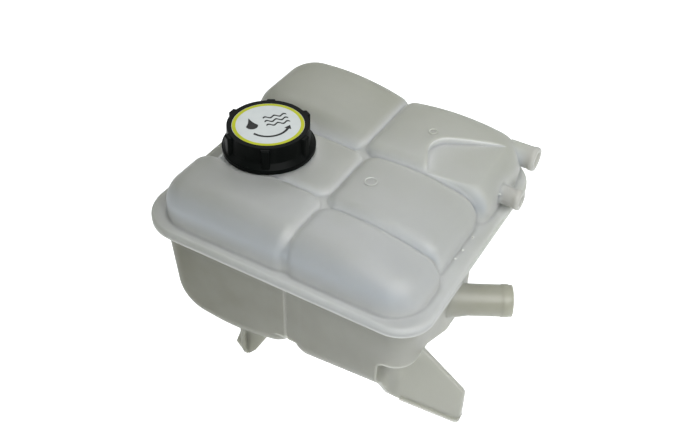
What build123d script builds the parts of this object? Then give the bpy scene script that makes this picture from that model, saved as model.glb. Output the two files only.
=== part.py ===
import os
from typing import NamedTuple

from build123d import *

os.makedirs("parts", exist_ok=True)

# Weld flange: sizes, and its place from the tip of the locating peg (the origin)
FLANGE_LENGTH = 207.5
FLANGE_DEPTH = 193.0
PEG_FROM_LEFT = 75.5
PEG_FROM_FRONT = 14.0
WELD_HEIGHT = 96.5
FLANGE_THICKNESS = 3.0
FLANGE_EDGE_ROUND = 1.8
FLANGE_FRONT_CORNER_LEFT = 30.0
FLANGE_FRONT_CORNER_RIGHT = 23.0
FLANGE_BACK_CORNER_LEFT = 30.0
FLANGE_BACK_CORNER_RIGHT = 34.0
LIP_DEPTH = 2.5
LIP_THICKNESS = 2.4
LIP_CLEARANCE = 0.3
LIP_GAP_FRONT = 62.0
LIP_GAP_BACK = 40.0
LOWER_FLANGE_THICKNESS = 2.6

# Ledges of the flange outside the chamber walls, and the wall of both mouldings
LEFT_LEDGE = 11.5
LEFT_POD_LEDGE = 14.3
RIGHT_LEDGE = 8.0
FRONT_LEDGE = 7.0
BACK_LEDGE = 5.0
WALL = 2.6

# Chamber pattern: one column divider and two row dividers, from the peg axis and from the cap
COLUMN_X = 37.0
FRONT_ROW_LEFT_Y = 43.0
FRONT_ROW_RIGHT_Y = 38.0
BACK_ROW_FROM_CAP = 3.2
BACK_COLUMN_SHIFT = 5.5
BACK_LEFT_RECESS = 1.7
NECK_CHAMBER_RECESS = 11.0
MIDDLE_RIGHT_RECESS = 4.0

# Chamber tops: crest heights over the weld plane, crest places as shares of the width from the
# left, and fall of the crown from the crest to its farther side
FRONT_LEFT_RISE = 32.5
FRONT_RIGHT_RISE = 31.0
MIDDLE_LEFT_RISE = 31.5
MIDDLE_RIGHT_RISE = 32.0
BACK_LEFT_RISE = 40.1
BACK_RIGHT_RISE = 35.0
FRONT_LEFT_CREST = 0.60
FRONT_RIGHT_CREST = 0.23
MIDDLE_LEFT_CREST = 0.47
MIDDLE_RIGHT_CREST = 0.32
BACK_LEFT_CREST = 0.39
BACK_RIGHT_CREST = 0.41
FRONT_LEFT_FALL = 4.7
FRONT_RIGHT_FALL = 13.3
MIDDLE_LEFT_FALL = 2.9
MIDDLE_RIGHT_FALL = 10.3
BACK_LEFT_FALL = 9.4
BACK_RIGHT_FALL = 8.1
OUTER_SHOULDER = 18.0
VALLEY_SHOULDER = 9.0
OUTER_CORNER = 24.0
VALLEY_CORNER = 12.0
VALLEY_OVERLAP = 1.0
FRONT_VALLEY_RISE = 25.5
BACK_VALLEY_RISE = 27.0
VALLEY_SET_BACK = 1.8
VALLEY_REACH = 16.0
VALLEY_CREST = 0.16
VALLEY_FALL = 7.3
VALLEY_END_SHOULDER = 13.0

# Lower step in the back right chamber top, its outline from where column and back row divider cross
STEP_RISE = 29.5
STEP_OUTLINE = ((47.5, -10.0), (29.5, 29.0), (81.0, 56.0), (123.0, 56.0), (123.0, -10.0))
STEP_CORNER = 15.0

# Windows in the baffles
WINDOW_WIDTH = 14.0
WINDOW_HEIGHT = 8.0
BAFFLE = 2.2

# Lower pods: a deep one on the left, a deep sump and a shallow tray on the right
LEFT_POD_KEEL = 17.5
LEFT_POD_SIDE_FLOOR = 24.0
LEFT_POD_VALLEY_FLOOR = 28.5
SUMP_FLOOR = 24.4
SUMP_FLOOR_RISE = 6.5
SUMP_FROM_BACK_ROW = 3.0
TRAY_DEPTH = 16.5
TRAY_ROUND = 12.0
LEFT_POD_LEAN = 6.9
SUMP_LEAN = 0.4
LEFT_POD_ROUND = 28.0
LEFT_POD_KEEL_ROUND = 120.0
POD_VALLEY_ROUND = 16.0
SUMP_ROUND = 14.0
POD_END_ROUND = 15.0
WEB_SET_BACK = 0.7
CREASE_WIDTH = 2.6
CREASE_DEPTH = 1.4

# Filler neck, as high as the cap needs to clear the chamber tops
NECK_X = -19.7
NECK_Y = 63.8
NECK_RADIUS = 22.5
NECK_BORE_RADIUS = 19.0
NECK_COLLAR_RADIUS = 27.0

# Vent stubs, back one first
VENT_RADIUS = (8.0, 6.4)
VENT_BORE_RADIUS = (5.4, 4.0)
VENT_BEAD_RADIUS = (8.5, 6.9)
VENT_BEAD_LENGTH = 4.0
VENT_BEAD_ROUND = 1.3
VENT_FROM_BACK = (18.0, 56.0)
VENT_RISE = (20.0, 13.1)
VENT_REACH = (0.6, 6.0)

# Outlet stub
OUTLET_RADIUS = 10.6
OUTLET_BORE_RADIUS = 7.5
OUTLET_BEAD_RADIUS = 11.0
OUTLET_BEAD_LENGTH = 7.0
OUTLET_BEAD_ROUND = 3.6
OUTLET_LENGTH = 36.1
OUTLET_ROOT_RADIUS = 13.0
OUTLET_ROOT_LENGTH = 8.0
OUTLET_Y = 64.0
OUTLET_DROP = 34.6
OUTLET_ANGLE = 29.0

# Mounting tongue under the front right corner, its gusset and the recess around them
TONGUE_SET_BACK = 29.0
TONGUE_THICKNESS = 2.8
TONGUE_REACH = 22.8
TONGUE_TOP = 38.0
TONGUE_BOTTOM = 7.8
TONGUE_HEEL_Z = 3.9
TONGUE_SLOPE_TOP = 61.4
TONGUE_CORNER = 5.0
TONGUE_LIP = 2.2
TONGUE_LIP_PROUD = 1.2
GUSSET_SET_BACK = 4.0
GUSSET_ROOT_Z = 36.0
GUSSET_ROUND = 8.0
CORNER_WIDTH = 28.0
CORNER_DEPTH = 37.0
CORNER_FLOOR = 58.5
CORNER_SLOPE = 0.54
CORNER_RECESS_ROUND = 6.0

# Locating peg
PEG_FIN = 3.0
PEG_SPREAD = 8.0
PEG_SHOULDER = 7.0
PEG_TIP = 2.2
PEG_LEFT_ROOT = 3.0
PEG_RIGHT_ROOT = 16.0
PEG_ROOT_HEIGHT = 22.0

# Screw cap
CAP_GAP = 0.6
CAP_COVER = 13.4
CAP_COLLAR_RADIUS = 31.0
CAP_COLLAR_HEIGHT = 2.6
CAP_FLARE_RADIUS = 30.4
CAP_FLARE_HEIGHT = 6.2
CAP_SKIRT_RADIUS = 27.6
CAP_CROWN_RADIUS = 27.0
CAP_RIM_HEIGHT = 0.9
CAP_RIM_ROUND = 0.9
CAP_ROOF = 1.4
CAP_BORE_RADIUS = 24.0
CAP_LIP_REACH = 1.1
CAP_LIP_HEIGHT = 1.2
CAP_PLAY = 0.3
LUG_COUNT = 6
LUG_RADIUS = 29.8
LUG_ROOT_WIDTH = 7.0
LUG_TIP_WIDTH = 4.8
LUG_ROUND = 1.0
LABEL_RADIUS = 23.7
LABEL_THICKNESS = 0.5
LABEL_CLEARANCE = 0.15

# Valve insert in the cap
SEAT_GAP = 0.3
HOUSING_FLANGE = 1.6
HOUSING_CLEARANCE = 0.4
HOUSING_DEPTH = 21.0
HOUSING_WALL = 4.6
HOUSING_FLOOR = 2.5
HOUSING_PORT_RADIUS = 7.5
SEAT_WIDTH = 1.5
SEAT_HEIGHT = 0.8
RING_DEPTH = 9.0
RING_GROOVE_WIDTH = 2.6
RING_GROOVE_DEPTH = 1.7
RING_CLEARANCE = 0.35
RING_HEIGHT = 2.0
RING_CHAMFER = 0.3
RETAINER_THICKNESS = 2.0
RETAINER_LEDGE = 1.2
RETAINER_CLEARANCE = 0.1
RETAINER_HOLE_RADIUS = 4.5
RETAINER_VENT_RADIUS = 1.3
RETAINER_VENTS = 4
VALVE_GAP = 0.1
SEAL_THICKNESS = 1.6
SEAL_RADIUS = 10.6
SEAL_HOLE_RADIUS = 4.6
PLATE_RADIUS = 11.2
PLATE_THICKNESS = 1.8
HUB_RADIUS = 5.0
HUB_HEIGHT = 3.4
STEM_RADIUS = 1.5
STEM_CLEARANCE = 0.08
POPPET_RADIUS = 6.6
POPPET_THICKNESS = 1.4
POPPET_STEM = 11.0
POPPET_CAP_RADIUS = 3.0
POPPET_CAP_THICKNESS = 1.2
SPRING_RADIUS = 8.6
SPRING_WIRE = 1.5
SPRING_TURNS = 3.0
SMALL_SPRING_RADIUS = 2.4
SMALL_SPRING_WIRE = 0.6
SMALL_SPRING_TURNS = 2.0
SPRING_GAP = 0.2

# Places that follow from the sizes above
FLANGE_LEFT_X = -PEG_FROM_LEFT
FLANGE_RIGHT_X = FLANGE_LEFT_X + FLANGE_LENGTH
FLANGE_FRONT_Y = -PEG_FROM_FRONT
FLANGE_BACK_Y = FLANGE_FRONT_Y + FLANGE_DEPTH
LEFT_X = FLANGE_LEFT_X + LEFT_LEDGE
RIGHT_X = FLANGE_RIGHT_X - RIGHT_LEDGE
FRONT_Y = FLANGE_FRONT_Y + FRONT_LEDGE
BACK_Y = FLANGE_BACK_Y - BACK_LEDGE
POD_LEFT_X = FLANGE_LEFT_X + LEFT_POD_LEDGE
TRAY_FLOOR = WELD_HEIGHT - TRAY_DEPTH
BACK_COLUMN_X = COLUMN_X - BACK_COLUMN_SHIFT
BACK_ROW_Y = NECK_Y + CAP_COLLAR_RADIUS + BACK_ROW_FROM_CAP
CAP_BASE = WELD_HEIGHT + max(FRONT_LEFT_RISE, MIDDLE_LEFT_RISE, MIDDLE_RIGHT_RISE) + CAP_GAP
NECK_TOP = CAP_BASE + CAP_COVER
SUMP_BACK_Y = BACK_ROW_Y - SUMP_FROM_BACK_ROW
OUTLET_Z = WELD_HEIGHT - OUTLET_DROP
TONGUE_Y = FLANGE_FRONT_Y + TONGUE_SET_BACK
CORNER_X = FLANGE_RIGHT_X - CORNER_WIDTH
CORNER_BACK_Y = FLANGE_FRONT_Y + CORNER_DEPTH


class Chamber(NamedTuple):
    """Plan, crest line and outer sides (W, E, S, N) of one pillow-shaped chamber top."""

    west: float
    east: float
    south: float
    north: float
    rise: float
    crest: float
    fall: float
    outer: str
    shoulder: float = OUTER_SHOULDER

    @property
    def crest_x(self):
        """Place of the crest line."""
        return self.west + self.crest * (self.east - self.west)

    @property
    def crown(self):
        """Radius of the crown that drops by the fall at the side farther from the crest."""
        reach = max(self.crest_x - self.west, self.east - self.crest_x)
        return (reach ** 2 + self.fall ** 2) / (2 * self.fall)


LEFT_EDGE = COLUMN_X + VALLEY_OVERLAP
RIGHT_EDGE = COLUMN_X - VALLEY_OVERLAP
CHAMBERS = (
    Chamber(LEFT_X, LEFT_EDGE, FRONT_Y, FRONT_ROW_LEFT_Y + VALLEY_OVERLAP,
            FRONT_LEFT_RISE, FRONT_LEFT_CREST, FRONT_LEFT_FALL, "WS"),
    Chamber(RIGHT_EDGE, RIGHT_X, FRONT_Y, FRONT_ROW_RIGHT_Y + VALLEY_OVERLAP,
            FRONT_RIGHT_RISE, FRONT_RIGHT_CREST, FRONT_RIGHT_FALL, "ES"),
    Chamber(LEFT_X + NECK_CHAMBER_RECESS, LEFT_EDGE, FRONT_ROW_LEFT_Y - VALLEY_OVERLAP,
            BACK_ROW_Y + VALLEY_OVERLAP, MIDDLE_LEFT_RISE, MIDDLE_LEFT_CREST, MIDDLE_LEFT_FALL, "W"),
    Chamber(RIGHT_EDGE, RIGHT_X - MIDDLE_RIGHT_RECESS, FRONT_ROW_RIGHT_Y - VALLEY_OVERLAP,
            BACK_ROW_Y + VALLEY_OVERLAP, MIDDLE_RIGHT_RISE, MIDDLE_RIGHT_CREST, MIDDLE_RIGHT_FALL, "E"),
    Chamber(LEFT_X + BACK_LEFT_RECESS, BACK_COLUMN_X + VALLEY_OVERLAP, BACK_ROW_Y - VALLEY_OVERLAP,
            BACK_Y, BACK_LEFT_RISE, BACK_LEFT_CREST, BACK_LEFT_FALL, "WSN"),
    Chamber(BACK_COLUMN_X - VALLEY_OVERLAP, RIGHT_X, BACK_ROW_Y - VALLEY_OVERLAP, BACK_Y,
            BACK_RIGHT_RISE, BACK_RIGHT_CREST, BACK_RIGHT_FALL, "EN"),
)
STEPPED = CHAMBERS[-1]
VALLEYS = (
    Chamber(COLUMN_X - VALLEY_REACH, RIGHT_X - MIDDLE_RIGHT_RECESS - VALLEY_SET_BACK,
            FRONT_Y + VALLEY_SET_BACK, BACK_ROW_Y + VALLEY_REACH, FRONT_VALLEY_RISE,
            VALLEY_CREST, VALLEY_FALL, "ES", VALLEY_END_SHOULDER),
    Chamber(COLUMN_X - VALLEY_REACH, RIGHT_X - VALLEY_SET_BACK, BACK_ROW_Y - VALLEY_OVERLAP,
            BACK_Y - VALLEY_SET_BACK, BACK_VALLEY_RISE, VALLEY_CREST, VALLEY_FALL, "EN",
            VALLEY_END_SHOULDER),
)


class Window(NamedTuple):
    """Middle of an opening through a baffle, and whether both pods have it near the floor too."""

    x: float
    y: float
    low: bool


LEFT_MIDDLE_X = (LEFT_X + COLUMN_X) / 2
RIGHT_MIDDLE_X = (COLUMN_X + RIGHT_X) / 2
WINDOWS = (
    Window(COLUMN_X, (FRONT_Y + FRONT_ROW_RIGHT_Y) / 2, True),
    Window(COLUMN_X, (FRONT_ROW_LEFT_Y + SUMP_BACK_Y - POD_END_ROUND) / 2, True),
    Window(BACK_COLUMN_X, (BACK_ROW_Y + BACK_Y) / 2, False),
    Window(LEFT_MIDDLE_X, FRONT_ROW_LEFT_Y, True),
    Window(LEFT_MIDDLE_X, BACK_ROW_Y, True),
    Window(RIGHT_MIDDLE_X, FRONT_ROW_RIGHT_Y, True),
    Window(RIGHT_MIDDLE_X, BACK_ROW_Y, False),
)


def plan(west, east, south, north, z, radii):
    """Rectangle at height z with its own radius on the SW, SE, NE and NW corners."""
    sketch = Pos((west + east) / 2, (south + north) / 2, z) * Rectangle(east - west, north - south)
    corners = ((west, south), (east, south), (east, north), (west, north))
    for (x, y), radius in zip(corners, radii):
        if radius > 0:
            sketch = fillet(sketch.vertices().sort_by_distance((x, y, z))[0], radius)
    return sketch


def pillow(chamber, inset=0.0):
    """Crowned chamber top: soft shoulders on its outer sides, tight ones along the valleys."""
    sides = {"W": chamber.west + inset, "E": chamber.east - inset,
             "S": chamber.south + inset, "N": chamber.north - inset}
    radii = []
    for pair in ("WS", "SE", "EN", "NW"):
        outer = sum(side in chamber.outer for side in pair)
        radii.append((VALLEY_CORNER - inset, 0.0, OUTER_CORNER - inset)[outer])
    outline = plan(sides["W"], sides["E"], sides["S"], sides["N"], WELD_HEIGHT, radii)
    crown = chamber.crown - inset
    crest = WELD_HEIGHT + chamber.rise - inset
    length = 2 * (chamber.north - chamber.south)
    middle = (sides["S"] + sides["N"]) / 2
    dome = Pos(chamber.crest_x, middle, crest - crown) * Rot(90, 0, 0) * Cylinder(crown, length)
    block = extrude(outline, amount=chamber.rise + WALL) & dome

    def rim(solid, chosen, corner_reach):
        """Edges of the crown over the chosen sides and over the corners between them."""
        found = []
        for edge in solid.faces().sort_by(Axis.Z)[-1].edges():
            centre = edge.center()
            reach = 0.02
            if edge.geom_type not in (GeomType.LINE, GeomType.CIRCLE):
                reach = corner_reach
            away = {"W": centre.X - sides["W"], "E": centre.X - sides["E"],
                    "S": centre.Y - sides["S"], "N": centre.Y - sides["N"]}
            if any(abs(away[side]) < reach for side in chosen):
                found.append(edge)
        return found

    block = fillet(rim(block, chamber.outer, 0.45 * OUTER_CORNER), chamber.shoulder - inset)
    inner = [side for side in "WESN" if side not in chamber.outer]
    return fillet(rim(block, inner, 0.02), VALLEY_SHOULDER - inset)


def step(grow=0.0):
    """Space over the lower step of the back right chamber top."""
    outline = make_face(Polyline(*STEP_OUTLINE, close=True))
    outline = fillet(outline.vertices().sort_by_distance(STEP_OUTLINE[1])[0], STEP_CORNER)
    if grow > 0:
        outline = offset(outline, grow)
    place = Pos(COLUMN_X, BACK_ROW_Y, WELD_HEIGHT + STEP_RISE - grow)
    return extrude(place * outline, amount=BACK_LEFT_RISE)


def flange(inset, z, height):
    """Plate in the outline of the weld flange."""
    radii = (FLANGE_FRONT_CORNER_LEFT, FLANGE_FRONT_CORNER_RIGHT,
             FLANGE_BACK_CORNER_RIGHT, FLANGE_BACK_CORNER_LEFT)
    outline = plan(FLANGE_LEFT_X + inset, FLANGE_RIGHT_X - inset, FLANGE_FRONT_Y + inset,
                   FLANGE_BACK_Y - inset, z, [radius - inset for radius in radii])
    return extrude(outline, amount=height)


def span(x0, x1, y0, y1, z0, z1):
    """Box from corner to corner."""
    return Pos((x0 + x1) / 2, (y0 + y1) / 2, (z0 + z1) / 2) * Box(x1 - x0, y1 - y0, z1 - z0)


def turned(*points):
    """Solid of revolution about the Z axis from (radius, height) points."""
    return revolve(Plane.XZ * make_face(Polyline(*points, close=True)), axis=Axis.Z)


def stub(radius, bead_radius, bead_length, bead_round, length):
    """Hose stub along +X with a rounded end bead."""
    barrel = Rot(0, 90, 0) * extrude(Circle(radius), amount=length)
    bead = Rot(0, 90, 0) * extrude(Circle(bead_radius), amount=bead_length)
    bead = fillet(bead.edges().sort_by(Axis.X)[-1], bead_round)
    bead = chamfer(bead.edges().sort_by(Axis.X)[0], 0.9 * (bead_radius - radius))
    return barrel + Pos(length - bead_length, 0, 0) * bead


def windows(chosen, z0, z1):
    """Openings through the baffles between neighbouring chambers."""
    half = WINDOW_WIDTH / 2
    deep = 2 * WALL
    cuts = []
    for window in chosen:
        x_half, y_half = (deep, half) if window.x in (COLUMN_X, BACK_COLUMN_X) else (half, deep)
        cuts.append(span(window.x - x_half, window.x + x_half,
                         window.y - y_half, window.y + y_half, z0, z1))
    return cuts


def upper_shell():
    """Upper moulding: chamber tops, flange with its lip, filler neck and vent stubs."""
    plate = flange(0, WELD_HEIGHT, FLANGE_THICKNESS)
    plate = fillet(plate.edges().group_by(Axis.Z)[-1], FLANGE_EDGE_ROUND)
    lip = flange(0, WELD_HEIGHT - LIP_DEPTH, LIP_DEPTH)
    lip -= flange(LIP_THICKNESS, WELD_HEIGHT - LIP_DEPTH, LIP_DEPTH)
    lip -= span(FLANGE_RIGHT_X - 2 * LIP_THICKNESS, FLANGE_RIGHT_X + LIP_THICKNESS,
                FLANGE_FRONT_Y + LIP_GAP_FRONT, FLANGE_BACK_Y - LIP_GAP_BACK,
                WELD_HEIGHT - 2 * LIP_DEPTH, WELD_HEIGHT)
    body = plate + lip
    for chamber in CHAMBERS + VALLEYS:
        body += pillow(chamber) - step() if chamber is STEPPED else pillow(chamber)
    neck_root = WELD_HEIGHT + MIDDLE_LEFT_RISE - 2 * WALL
    collar_top = CAP_BASE - CAP_GAP / 2
    body += Pos(NECK_X, NECK_Y, 0) * turned(
        (0, neck_root), (NECK_COLLAR_RADIUS, neck_root), (NECK_COLLAR_RADIUS, collar_top),
        (NECK_RADIUS, collar_top), (NECK_RADIUS, NECK_TOP), (0, NECK_TOP))
    root = RIGHT_X - OUTER_CORNER / 2
    vents = list(zip(VENT_FROM_BACK, VENT_RISE, VENT_REACH, VENT_RADIUS, VENT_BEAD_RADIUS, VENT_BORE_RADIUS))
    for from_back, rise, reach, radius, bead_radius, bore_radius in vents:
        length = FLANGE_RIGHT_X + reach - root
        vent = stub(radius, bead_radius, VENT_BEAD_LENGTH, VENT_BEAD_ROUND, length)
        body += Pos(root, FLANGE_BACK_Y - from_back, WELD_HEIGHT + rise) * vent
    for chamber in CHAMBERS:
        cell = pillow(chamber, WALL)
        body -= cell - step(WALL) if chamber is STEPPED else cell
    bore_root = WELD_HEIGHT + MIDDLE_LEFT_RISE - 3 * WALL
    bore = extrude(Circle(NECK_BORE_RADIUS), amount=NECK_TOP - bore_root)
    body -= Pos(NECK_X, NECK_Y, bore_root) * bore
    for from_back, rise, reach, radius, bead_radius, bore_radius in vents:
        length = FLANGE_RIGHT_X + reach - root + OUTER_CORNER / 2
        bore = Rot(0, 90, 0) * extrude(Circle(bore_radius), amount=length)
        body -= Pos(root - OUTER_CORNER / 2, FLANGE_BACK_Y - from_back, WELD_HEIGHT + rise) * bore
    for cut in windows(WINDOWS, WELD_HEIGHT - 1, WELD_HEIGHT + WINDOW_HEIGHT):
        body -= cut
    return body


def pod(points, radii, south, north, end_round, inset):
    """Lower chamber: U-shaped section run from front to back, with rounded ends."""
    line = FilletPolyline(*points, radius=[radius - inset for radius in radii])
    section = make_face(Curve() + [line, Line(line @ 1, line @ 0)])
    block = extrude(Plane.XZ.offset(inset - north) * section, amount=north - south - 2 * inset)
    middle = (south + north) / 2
    reach = (north - south) / 2 - inset - WALL / 2
    ends = block.edges().filter_by(lambda edge: edge.center().Z < WELD_HEIGHT - WALL / 2
                                   and abs(edge.center().Y - middle) > reach)
    return fillet(ends, end_round - inset)


def left_pod(inset=0.0):
    """Left lower chamber with its keel over the locating peg."""
    west = POD_LEFT_X + inset
    east = LEFT_EDGE - inset
    points = ((west, WELD_HEIGHT), (west + LEFT_POD_LEAN, LEFT_POD_SIDE_FLOOR + inset),
              (0, LEFT_POD_KEEL + inset), (east, LEFT_POD_VALLEY_FLOOR + inset), (east, WELD_HEIGHT))
    radii = (LEFT_POD_ROUND, LEFT_POD_KEEL_ROUND, POD_VALLEY_ROUND)
    return pod(points, radii, FRONT_Y, BACK_Y, POD_END_ROUND, inset)


def sump(inset=0.0):
    """Right lower chamber under the front and middle rows."""
    west = RIGHT_EDGE + inset
    east = RIGHT_X - inset
    floor = SUMP_FLOOR + inset
    points = ((west, WELD_HEIGHT), (west, floor), (east - SUMP_LEAN, floor + SUMP_FLOOR_RISE),
              (east, WELD_HEIGHT))
    return pod(points, (POD_VALLEY_ROUND, SUMP_ROUND), FRONT_Y, SUMP_BACK_Y, POD_END_ROUND, inset)


def tray(inset=0.0):
    """Shallow chamber behind the sump, trimmed to the round back corner of the flange."""
    west = RIGHT_EDGE + inset
    east = RIGHT_X - inset
    floor = TRAY_FLOOR + inset
    points = ((west, WELD_HEIGHT), (west, floor), (east, floor), (east, WELD_HEIGHT))
    south = SUMP_BACK_Y - 2 * POD_END_ROUND
    block = pod(points, (TRAY_ROUND, TRAY_ROUND), south, BACK_Y, TRAY_ROUND, inset)
    return block & flange(BACK_LEDGE + inset, TRAY_FLOOR, TRAY_DEPTH)


def corner_recess(grow):
    """Space around the tongue, under the raised and then sloping floor of the front right corner."""
    end = CORNER_BACK_Y + CORNER_FLOOR / CORNER_SLOPE
    profile = make_face(Polyline((FLANGE_FRONT_Y, 0), (FLANGE_FRONT_Y, CORNER_FLOOR),
                                 (CORNER_BACK_Y, CORNER_FLOOR), (end, 0), close=True))
    if grow > 0:
        profile = offset(profile, grow, kind=Kind.INTERSECTION)
    west = CORNER_X - grow
    block = extrude(Plane.YZ.offset(west) * profile, amount=FLANGE_RIGHT_X + grow - west)
    edges = block.edges().filter_by(lambda edge: edge.center().X < west + WALL / 2
                                    and edge.center().Z > WALL
                                    and edge.center().Y > FLANGE_FRONT_Y + WALL)
    return fillet(edges, CORNER_RECESS_ROUND)


def tongue():
    """Mounting tongue: plate with a proud lip along its lower edge, and a gusset up to the front wall."""
    tip_x = FLANGE_RIGHT_X + TONGUE_REACH
    root_x = CORNER_X - WALL
    bend_x = CORNER_X + GUSSET_ROUND
    front = FRONT_Y + GUSSET_SET_BACK
    back = TONGUE_Y + TONGUE_THICKNESS
    head = CORNER_FLOOR + WALL
    points = ((root_x, head), (root_x, TONGUE_HEEL_Z), (bend_x, TONGUE_HEEL_Z), (tip_x, TONGUE_BOTTOM),
              (tip_x, TONGUE_TOP), (RIGHT_X - WALL / 2, TONGUE_SLOPE_TOP))
    outline = make_face(Polyline(*points, close=True))
    for x, z in points[3:5]:
        outline = fillet(outline.vertices().sort_by_distance((x, z, 0))[0], TONGUE_CORNER)
    plate = extrude(Plane.XZ.offset(-back) * outline, amount=TONGUE_THICKNESS)
    lip_plane = Plane.XZ.offset(-back - TONGUE_LIP_PROUD)
    lip_width = TONGUE_THICKNESS + 2 * TONGUE_LIP_PROUD
    lip = extrude(lip_plane * outline, amount=lip_width)
    lip -= extrude(lip_plane * (Pos(0, TONGUE_LIP) * outline), amount=lip_width)
    lip &= span(bend_x, tip_x + WALL, FLANGE_FRONT_Y, BACK_Y, 0, TONGUE_TOP - TONGUE_CORNER)
    bend = make_face(Polyline((root_x, front), (CORNER_X, front), (CORNER_X, TONGUE_Y),
                              (bend_x + GUSSET_ROUND, TONGUE_Y), (bend_x + GUSSET_ROUND, back),
                              (root_x, back), close=True))
    bend = fillet(bend.vertices().sort_by_distance((CORNER_X, TONGUE_Y, 0))[0], GUSSET_ROUND)
    side = make_face(Polyline((front, GUSSET_ROOT_Z), (TONGUE_Y, TONGUE_HEEL_Z), (back, TONGUE_HEEL_Z),
                              (back, head), (front, head), close=True))
    gusset = extrude(bend, amount=head) & extrude(Plane.YZ.offset(root_x) * side, amount=bend_x - root_x)
    return plate + lip + gusset


def peg():
    """Cross-finned locating peg with a flared root and a blunt point."""
    root = LEFT_POD_KEEL + POD_END_ROUND
    fin = make_face(Polyline((-PEG_TIP, 0), (PEG_TIP, 0), (PEG_SPREAD, PEG_SHOULDER),
                             (PEG_RIGHT_ROOT, PEG_ROOT_HEIGHT), (PEG_RIGHT_ROOT, root),
                             (-PEG_LEFT_ROOT, root), (-PEG_LEFT_ROOT, PEG_ROOT_HEIGHT),
                             (-PEG_SPREAD, PEG_SHOULDER), close=True))
    front = FRONT_Y + WALL
    cross = make_face(Polyline((-PEG_TIP, 0), (PEG_TIP, 0), (PEG_SPREAD, PEG_SHOULDER), (PEG_SPREAD, root),
                               (front, root), (front, PEG_SHOULDER), close=True))
    return (extrude(Plane.XZ * fin, amount=PEG_FIN / 2, both=True)
            + extrude(Plane.YZ * cross, amount=PEG_FIN / 2, both=True))


def web(south, north, z):
    """Wall that closes the groove between the left pod and its neighbours down to height z."""
    return span(COLUMN_X - POD_VALLEY_ROUND, COLUMN_X + POD_VALLEY_ROUND, south, north, z, WELD_HEIGHT)


def lower_shell():
    """Lower moulding: pods, flange, outlet stub, mounting tongue and locating peg."""
    body = flange(LIP_THICKNESS + LIP_CLEARANCE, WELD_HEIGHT - LOWER_FLANGE_THICKNESS,
                  LOWER_FLANGE_THICKNESS)
    body += left_pod()
    body += sump() - corner_recess(0)
    body += tray()
    low = SUMP_FLOOR + POD_VALLEY_ROUND
    face = FRONT_Y + WEB_SET_BACK
    body += web(face, SUMP_BACK_Y - POD_END_ROUND, low)
    body += web(SUMP_BACK_Y - POD_END_ROUND, BACK_Y - WEB_SET_BACK, TRAY_FLOOR + TRAY_ROUND)
    crease = Pos(COLUMN_X, face, 0) * make_face(Polyline(
        (-CREASE_WIDTH / 2, 0), (0, CREASE_DEPTH), (CREASE_WIDTH / 2, 0), close=True))
    body -= extrude(crease, amount=WELD_HEIGHT - LOWER_FLANGE_THICKNESS)
    body += peg()
    body += tongue()
    heading = Pos(RIGHT_X - SUMP_LEAN, OUTLET_Y, OUTLET_Z) * Rot(0, 0, OUTLET_ANGLE)
    body += heading * stub(OUTLET_RADIUS, OUTLET_BEAD_RADIUS, OUTLET_BEAD_LENGTH, OUTLET_BEAD_ROUND,
                           OUTLET_LENGTH)
    body += heading * Rot(0, 90, 0) * Cone(OUTLET_ROOT_RADIUS, OUTLET_RADIUS, 2 * OUTLET_ROOT_LENGTH)
    hollow = left_pod(WALL) + (sump(WALL) - corner_recess(WALL)) + tray(WALL)
    for y, west, east in ((FRONT_ROW_LEFT_Y, LEFT_X, COLUMN_X), (BACK_ROW_Y, LEFT_X, RIGHT_X),
                          (FRONT_ROW_RIGHT_Y, COLUMN_X, RIGHT_X)):
        hollow -= span(west, east, y - BAFFLE / 2, y + BAFFLE / 2, 0, WELD_HEIGHT)
    body -= hollow
    bore = extrude(Circle(OUTLET_BORE_RADIUS), amount=OUTLET_LENGTH + 2 * OUTLET_ROOT_LENGTH)
    body -= heading * Pos(-2 * OUTLET_ROOT_LENGTH, 0, 0) * Rot(0, 90, 0) * bore
    for cut in windows(WINDOWS, WELD_HEIGHT - WINDOW_HEIGHT, WELD_HEIGHT + 1):
        body -= cut
    for cut in windows([window for window in WINDOWS if window.low], low, low + WINDOW_HEIGHT):
        body -= cut
    return body


# Heights in the cap and its valve insert, from the top of the neck down and up
HOUSING_SEAT = NECK_TOP + SEAT_GAP
HOUSING_TOP = HOUSING_SEAT + HOUSING_FLANGE
CAP_CEILING = HOUSING_TOP + CAP_PLAY
LABEL_FLOOR = CAP_CEILING + CAP_ROOF
CAP_TOP = LABEL_FLOOR + CAP_RIM_HEIGHT
HOUSING_RADIUS = NECK_BORE_RADIUS - HOUSING_CLEARANCE
HOUSING_BORE = HOUSING_RADIUS - HOUSING_WALL
HOUSING_BASE = NECK_TOP - HOUSING_DEPTH
RETAINER_RADIUS = HOUSING_BORE + RETAINER_LEDGE
RETAINER_Z = HOUSING_TOP - RETAINER_THICKNESS - CAP_PLAY
CHAMBER_FLOOR = HOUSING_BASE + HOUSING_FLOOR
SEAT_TOP = CHAMBER_FLOOR + SEAT_HEIGHT
SEAL_Z = SEAT_TOP + VALVE_GAP
PLATE_Z = SEAL_Z + SEAL_THICKNESS
PLATE_TOP = PLATE_Z + PLATE_THICKNESS
HUB_TOP = PLATE_TOP + HUB_HEIGHT
POPPET_TOP = SEAL_Z - VALVE_GAP
POPPET_CAP_Z = POPPET_TOP + POPPET_STEM


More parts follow.
